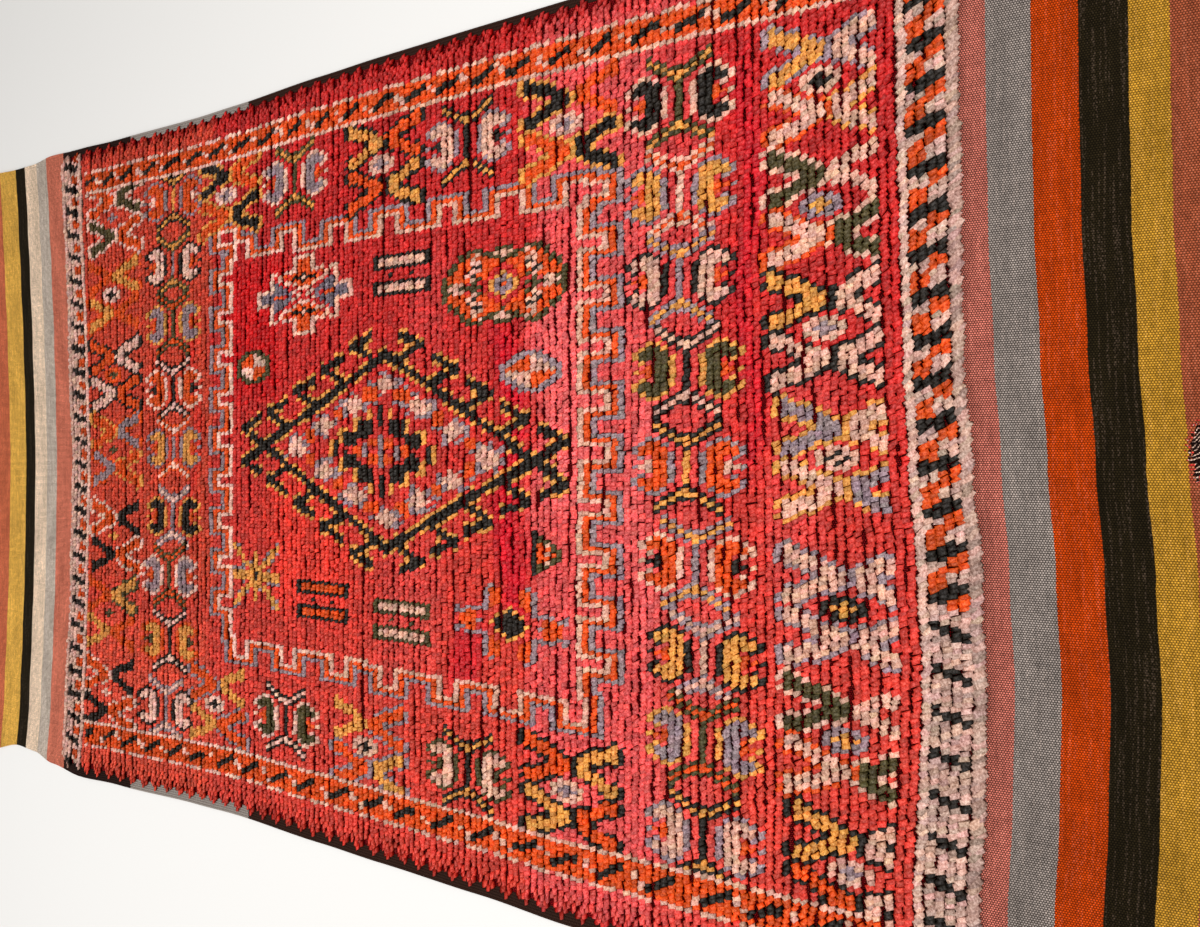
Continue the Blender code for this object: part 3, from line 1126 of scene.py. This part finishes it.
class Shader:
    """A material, and the nodes that are added to it"""

    def __init__(self, name, roughness=0.85):
        self.material = bpy.data.materials.new(name)
        self.material.use_nodes = True
        self.tree = self.material.node_tree
        self.surface = self.tree.nodes["Principled BSDF"]
        self.surface.inputs["Roughness"].default_value = roughness

    def node(self, kind, settings=None, values=None):
        """A node with its settings made first, then its sockets' values or links"""
        made = self.tree.nodes.new(kind)
        for name, value in (settings or {}).items():
            setattr(made, name, value)
        for name, value in (values or {}).items():
            self.put(made.inputs[name], value)
        return made

    def put(self, socket, value):
        """Links a socket to another, or sets its value"""
        if isinstance(value, Number):
            value = value.socket
        if isinstance(value, bpy.types.NodeSocket):
            self.tree.links.new(value, socket)
        else:
            socket.default_value = value

    def number(self, kind, output, settings=None, values=None):
        """One output of a new node, as a number"""
        return Number(self, self.node(kind, settings, values).outputs[output])

    def mixed(self, share, first, second, blend_type="MIX"):
        """One colour mixed into another"""
        node = self.node("ShaderNodeMix", {"data_type": "RGBA", "blend_type": blend_type}, {0: share})
        self.put(node.inputs[6], first)
        self.put(node.inputs[7], second)
        return node.outputs[2]

    def stripes(self, place, stops):
        """Plain stripes, from the place and the colour at which each begins"""
        node = self.node("ShaderNodeValToRGB", None, {0: place})
        ramp = node.color_ramp
        while len(ramp.elements) < len(stops):
            ramp.elements.new(1.0)
        for element, (position, colour) in zip(ramp.elements, stops):
            element.position = position
            element.color = colour
        ramp.interpolation = "CONSTANT"
        return node.outputs[0]

    def noise(self, place, scale, detail, stretch=None):
        """Unevenness between 0 and 1, mostly near 0.5. A large stretch makes it finer that way"""
        if stretch:
            place = self.node("ShaderNodeMapping", None, {"Vector": place, "Scale": stretch}).outputs[0]
        values = {"Vector": place, "Scale": scale, "Detail": detail}
        return self.number("ShaderNodeTexNoise", "Fac", None, values)

    def toned(self, colour, tone):
        """A colour made lighter or darker by a number"""
        grey = self.node("ShaderNodeCombineColor", None, {0: tone, 1: tone, 2: tone}).outputs[0]
        return self.mixed(1.0, colour, grey, "MULTIPLY")

    def relief(self, height, depth):
        """The surface's direction, with a relief of this depth on it"""
        values = {"Strength": 0.9, "Distance": depth, "Height": height}
        return self.node("ShaderNodeBump", None, values).outputs[0]

    def finish(self, **sockets):
        """Sets or links the surface's sockets, named with underscores for spaces"""
        for name, value in sockets.items():
            self.put(self.surface.inputs[name.replace("_", " ")], value)
        return self.material


# The heights between which the painted shade at a tuft's root gives way to the wool's full colour towards
# its tip
FULL_SHADE_HEIGHT = 0.004
SHADE_END_HEIGHT = 0.0125
WOOL_RELIEF = 0.0024


def wool_material():
    """Matt hand-spun wool: the yarn's own colour, fine streaks along its fibres, and painted shade that
    darkens it towards the roots
    """
    shader = Shader("pile_wool")
    yarn = shader.node("ShaderNodeAttribute", {"attribute_name": "yarn"}).outputs["Color"]
    place = shader.node("ShaderNodeTexCoord").outputs["Object"]
    fibres = shader.noise(place, 900.0, 3.0, (1.0, 0.3, 1.0))
    clumps = shader.noise(place, 120.0, 2.0)
    strands = shader.noise(place, 300.0, 1.5)
    up = shader.number("ShaderNodeSeparateXYZ", "Z", None, {0: place})
    heights = {"Value": up, "From Min": FULL_SHADE_HEIGHT, "From Max": SHADE_END_HEIGHT}
    root = shader.number("ShaderNodeMapRange", "Result", None, heights)
    # Tone: random fibre, clump and strand tones, and painted shade that darkens the wool towards the roots
    tone = (0.80 + 0.50 * fibres) * (0.8 + 0.4 * clumps) * (0.58 + 0.94 * strands) * (0.50 + 0.51 * root)
    streak_and_shade_yarn = shader.mixed(1.0, yarn, yarn, "MULTIPLY")
    # The darker, deeper yarn is mixed in along random strands and, as painted shade, towards the roots
    share = (1.7 * strands - 0.19) * (0.15 + 0.85 * root)
    return shader.finish(
        Base_Color=shader.toned(shader.mixed(share, streak_and_shade_yarn, yarn), tone),
        Normal=shader.relief(strands + 0.35 * fibres, WOOL_RELIEF),
        Roughness=0.72 + 0.2 * fibres,
        Specular_IOR_Level=0.0,
    )


def make_pile(chart, material):
    """The tufts, in bands of rows that run across the rug"""
    form, faces, levels = tuft_form()
    layout = tuft_layout(form, faces, levels)
    tufts = Tufts(chart)
    colours = yarn_colours(chart)
    bands = []
    for number, start in enumerate(range(0, PILE_ROWS, BAND_ROWS)):
        rows = slice(start, min(start + BAND_ROWS, PILE_ROWS))
        points = tufts.points(form, rows)
        # Painted shade at the tufts' roots, darker towards the far end
        depth = 1.0 - 0.55 * smoothed((chart.ahead[rows].reshape(-1, 1) - 1.2) / 0.5)
        shaded_colours = paint_root_shade_and_tip_sheen(colours[rows].reshape(-1, 3), depth, levels)
        band = joined(f"pile_band_{number + 1}", points, faces, shaded_colours, layout)
        band.data.materials.append(material)
        bands.append(band)
    return bands


def cord_profile(from_edge, cords):
    """How high the selvage stands over the cloth, as a share, at a distance in from the rug's edge"""
    within = (from_edge >= 0.0) & (from_edge <= cords * CORD_PITCH)
    return within * np.sqrt(np.abs(np.sin(math.pi * from_edge / CORD_PITCH)))


def ground_columns():
    """The cloth's columns: distances in from either edge, and between those, shares from -1 to 1"""
    steps = np.arange(0, 6) / 6.0
    plus = np.concatenate([(number + steps) * CORD_PITCH for number in range(CORDS_PLUS)])
    minus = np.concatenate([(number + steps) * CORD_PITCH for number in range(CORDS_MINUS)])
    inner = np.linspace(-1.0, 1.0, INNER_COLUMNS)
    return minus, inner, plus[::-1]


def ground_lines():
    """The places along of the cloth's cross sections: close together where the cloth shows"""
    near = np.linspace(NEAR_END, PILE_START, 30)
    under = np.linspace(PILE_START, PILE_STOP, 100)[1:-1]
    far = np.linspace(PILE_STOP, FAR_END, 34)
    return np.concatenate([near, under, far])


def ground_points():
    """The cloth's top surface: its points, their places in the weave, and their distances from the edge"""
    lines = ground_lines()
    minus, inner, plus = ground_columns()
    count = len(minus) + len(inner) + len(plus)
    along = np.repeat(lines[:, None], count, axis=1)
    to_plus = read_table(SIDES, lines, 1)[:, None]
    to_minus = read_table(SIDES, lines, 2)[:, None]
    first = -to_minus + minus[None, :]
    last = to_plus - plus[None, :]
    left = -to_minus + CORDS_MINUS * CORD_PITCH
    right = to_plus - CORDS_PLUS * CORD_PITCH
    between = left + (right - left) * 0.5 * (inner[None, :] + 1.0)
    across = np.concatenate([first, between, last], axis=1)
    from_edge = np.minimum(across + to_minus, to_plus - across)
    cords = np.where(across > 0.0, CORDS_PLUS, CORDS_MINUS)
    beside_pile = smoothed((along - PILE_START) / 0.05) * smoothed((PILE_STOP - along) / 0.05)
    rise = (0.0004 + CORD_RISE * beside_pile) * cord_profile(from_edge, cords)
    flat = CLOTH_THICKNESS + CLOTH_SWELL * swell(across, along)
    height = np.where((along > PILE_START) & (along < PILE_STOP), CLOTH_THICKNESS, flat)
    height = np.where(from_edge < 0.0001, CLOTH_EDGE, height + rise)
    return across, along, height, from_edge * np.sign(across)


def make_ground(material):
    """The flatwoven cloth under the pile and at both ends, and its corded selvages"""
    across, along, height, from_edge = ground_points()
    flat = np.stack([across, along + bow(across, along), height], axis=2).reshape(-1, 3)
    wefts = np.stack([across, along], axis=2).reshape(-1, 2)
    edges = from_edge.ravel()
    bm = bmesh.new()
    bmesh.ops.create_grid(bm, x_segments=across.shape[1] - 1, y_segments=across.shape[0] - 1, size=1.0)
    distance = bm.verts.layers.float.new("from_edge")
    uv = bm.loops.layers.uv.new("weave")
    ordered = sorted(bm.verts, key=lambda vert: (round(vert.co.y, 5), round(vert.co.x, 5)))
    weave = {}
    for vert, point, weft, edge in zip(ordered, flat, wefts, edges):
        vert.co = point
        vert[distance] = edge
        weave[vert] = weft
    for face in bm.faces:
        for loop in face.loops:
            loop[uv].uv = weave[loop.vert]
    let_down = bmesh.ops.extrude_face_region(bm, geom=bm.faces[:], use_keep_orig=True)["geom"]
    for part in let_down:
        if isinstance(part, bmesh.types.BMVert):
            part.co.z = 0.0
    bmesh.ops.recalc_face_normals(bm, faces=bm.faces)
    mesh = bpy.data.meshes.new("ground_cloth")
    bm.to_mesh(mesh)
    bm.free()
    mesh.shade_smooth()
    mesh.set_sharp_from_angle(angle=math.radians(70))
    mesh.materials.append(material)
    return add_object("ground_cloth", mesh)


def cloth_stop(along, name):
    """Where a stripe begins, as a share of the cloth's length, and its colour"""
    return (along - NEAR_END) / CLOTH_LENGTH, socket_colour(STRIPE_COLOURS[name])


def stripe_stops():
    """Every stripe of the cloth, with the pile's ground between the two ends"""
    begins = []
    edge = PILE_START
    for name, width in NEAR_STRIPES:
        edge -= width
        begins.append((edge, name))
    begins = [(NEAR_END, "red")] + begins[::-1] + [(PILE_START, "pile")]
    edge = PILE_STOP
    for name, width in FAR_STRIPES:
        begins.append((edge, name))
        edge += width
    begins.append((edge, "far red"))
    return [cloth_stop(at, name) for at, name in begins]


def frayed(shader, yarn, across, along, noises):
    """The yarn's colour with the frayed place in it: bare threads over a dark gap"""
    drift, blotches, by_warp, flecks = noises
    threads = (across / THREAD_PITCH + 9.0 * drift + 2.2 * blotches) % 1.0 > 0.72
    threads = threads * (by_warp > 0.44)
    aside = (across - FRAYED_HOLE[1]) / FRAYED_SIZE[1]
    beyond = (along - FRAYED_HOLE[0]) / FRAYED_SIZE[0]
    worn_out = aside * aside + beyond * beyond + 1.5 * (blotches - 0.5) + 1.5 * (flecks - 0.5)
    fringed = (worn_out < 1.15) * (threads > 0.5)
    fringed_yarn = shader.mixed(fringed, yarn, socket_colour(FRAYED_RED))
    worn_through = shader.mixed(threads, DARK_GAP, socket_colour(LIGHT_WARP))
    return shader.mixed(worn_out < 0.8, fringed_yarn, worn_through)


def cloth_material():
    """Weft-faced wool cloth in stripes, with its beaded weave, uneven yarns and overcast selvages, and
    painted shade between the beads and between the selvages' wraps
    """
    shader = Shader("flatwoven_wool", roughness=0.88)
    weave = shader.node("ShaderNodeUVMap", {"uv_map": "weave"}).outputs[0]
    parts = shader.node("ShaderNodeSeparateXYZ", None, {0: weave})
    across = Number(shader, parts.outputs["X"])
    along = Number(shader, parts.outputs["Y"])
    edge = shader.number("ShaderNodeAttribute", "Fac", {"attribute_name": "from_edge"})

    rib = across / RIB_PITCH
    in_rib = rib % 1.0
    other_rib = (rib * 0.5) % 1.0 > 0.5
    weft = along / WEFT_PITCH + 0.5 * other_rib
    in_weft = weft % 1.0
    bead = 16.0 * in_rib * (1.0 - in_rib) * in_weft * (1.0 - in_weft)

    drift = shader.noise(weave, 9.0, 2.0, (1.0, 3.0, 1.0))
    blotches = shader.noise(weave, 60.0, 3.0, (1.0, 2.0, 1.0))
    by_weft = shader.noise(weave, 1.0, 1.0, (9.0, 300.0, 1.0))
    by_warp = shader.noise(weave, 1.0, 1.0, (300.0, 9.0, 1.0))
    fibres = shader.noise(weave, 900.0, 3.0, (1.0, 2.5, 1.0))
    uneven = shader.noise(weave, 60.0, 2.0, (1.0, 0.3, 1.0))
    ragged = 0.0006 * (other_rib - 0.5) + 0.0028 * (uneven - 0.5)
    start = (along + ragged - NEAR_END) / CLOTH_LENGTH
    stripes = shader.stripes(start, stripe_stops())
    bindings = [cloth_stop(ahead + CAMERA_ALONG, name) for ahead, name in SELVAGE_YARNS]
    bound = shader.stripes(start, bindings)

    beside_pile = (along > PILE_START) * (along < PILE_STOP)
    on_plus = (edge > 0.0) * (edge < CORDS_PLUS * CORD_PITCH)
    on_minus = (edge < 0.0) * (edge > -CORDS_MINUS * CORD_PITCH)
    selvage = beside_pile * (on_plus + on_minus)
    wraps = (along / WRAP_PITCH + 90.0 * edge) % 1.0
    wrap = 4.0 * wraps * (1.0 - wraps)

    flecks = shader.noise(weave, 1.0, 2.0, (270.0, 300.0, 1.0))
    light_speck = (flecks > 0.50) * (by_weft > 0.56)
    loose = along > LOOSE_WEAVE_START
    # Painted shade: the cloth darker between the weave's beads, darkest in the loose weave
    bead_shade = (0.22 - 0.24 * loose) + (1.32 + 0.54 * loose) * bead
    cloth = bead_shade * (0.60 + 0.40 * by_weft + 0.40 * by_warp) * (0.60 + 0.80 * drift)
    cloth = cloth * (0.40 + 1.2 * flecks) * (0.60 + 0.80 * blotches)
    # Painted shade in the grooves between the selvage's wraps, with fibre tones
    wrap_shade = (0.55 + 0.5 * wrap) * (0.6 + 0.7 * fibres)
    tone = selvage * wrap_shade + (1.0 - selvage) * cloth * (0.82 + 0.34 * fibres)
    yarn = shader.mixed(selvage, stripes, bound)
    yarn = shader.mixed((1.0 - selvage) * 0.04 * light_speck, yarn, socket_colour(LIGHT_WARP))
    yarn = frayed(shader, yarn, across, along, (drift, blotches, by_warp, flecks))
    height = (1.0 - selvage) * bead + selvage * wrap + 0.25 * fibres
    return shader.finish(
        Base_Color=shader.toned(yarn, tone),
        Normal=shader.relief(height, CLOTH_RELIEF),
        Roughness=0.78 + 0.18 * fibres,
        Specular_IOR_Level=0.04,
    )


def make_floor():
    """A plain pale floor under the rug"""
    bm = bmesh.new()
    bmesh.ops.create_grid(bm, x_segments=1, y_segments=1, size=12.0)
    mesh = bpy.data.meshes.new("floor")
    bm.to_mesh(mesh)
    bm.free()
    shader = Shader("pale_floor", roughness=0.7)
    mesh.materials.append(shader.finish(Base_Color=(0.72, 0.71, 0.69, 1.0)))
    floor = add_object("floor", mesh)
    floor.location.z = -0.0005


def add_area_light(name, place, aim, size, power):
    """A soft square light that looks at a point"""
    data = bpy.data.lights.new(name, "AREA")
    data.size = size
    data.energy = power
    light = add_object(name, data)
    light.location = place
    light.rotation_euler = (Vector(aim) - Vector(place)).to_track_quat("-Z", "Y").to_euler()


def make_studio():
    """Plain soft light and the camera, which looks down along the rug with its length across the picture"""
    for light in LIGHTS:
        add_area_light(*light)
    world = bpy.data.worlds.new("studio")
    world.use_nodes = True
    background = world.node_tree.nodes["Background"]
    background.inputs["Color"].default_value = ROOM_COLOUR
    background.inputs["Strength"].default_value = ROOM_STRENGTH
    bpy.context.scene.world = world
    bpy.context.scene.view_settings.view_transform = "Standard"

    data = bpy.data.cameras.new("camera")
    data.sensor_width = 36.0
    data.lens = CAMERA_LENS
    data.clip_start = 0.01
    camera = add_object("camera", data)
    down, ahead = math.sin(CAMERA_PITCH), math.cos(CAMERA_PITCH)
    axes = Matrix(((0.0, 1.0, 0.0), (-down, 0.0, -ahead), (-ahead, 0.0, down)))
    camera.matrix_world = Matrix.Translation((0.0, CAMERA_ALONG, CAMERA_HEIGHT)) @ axes.to_4x4()
    bpy.context.scene.camera = camera


def main():
    chart = Chart()
    draw_pattern(chart)
    wool = wool_material()
    bands = make_pile(chart, wool)
    ground = make_ground(cloth_material())
    make_floor()
    make_studio()
    for piece in (*bands, ground):
        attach(piece, "root")
    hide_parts("rug")
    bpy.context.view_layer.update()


main()
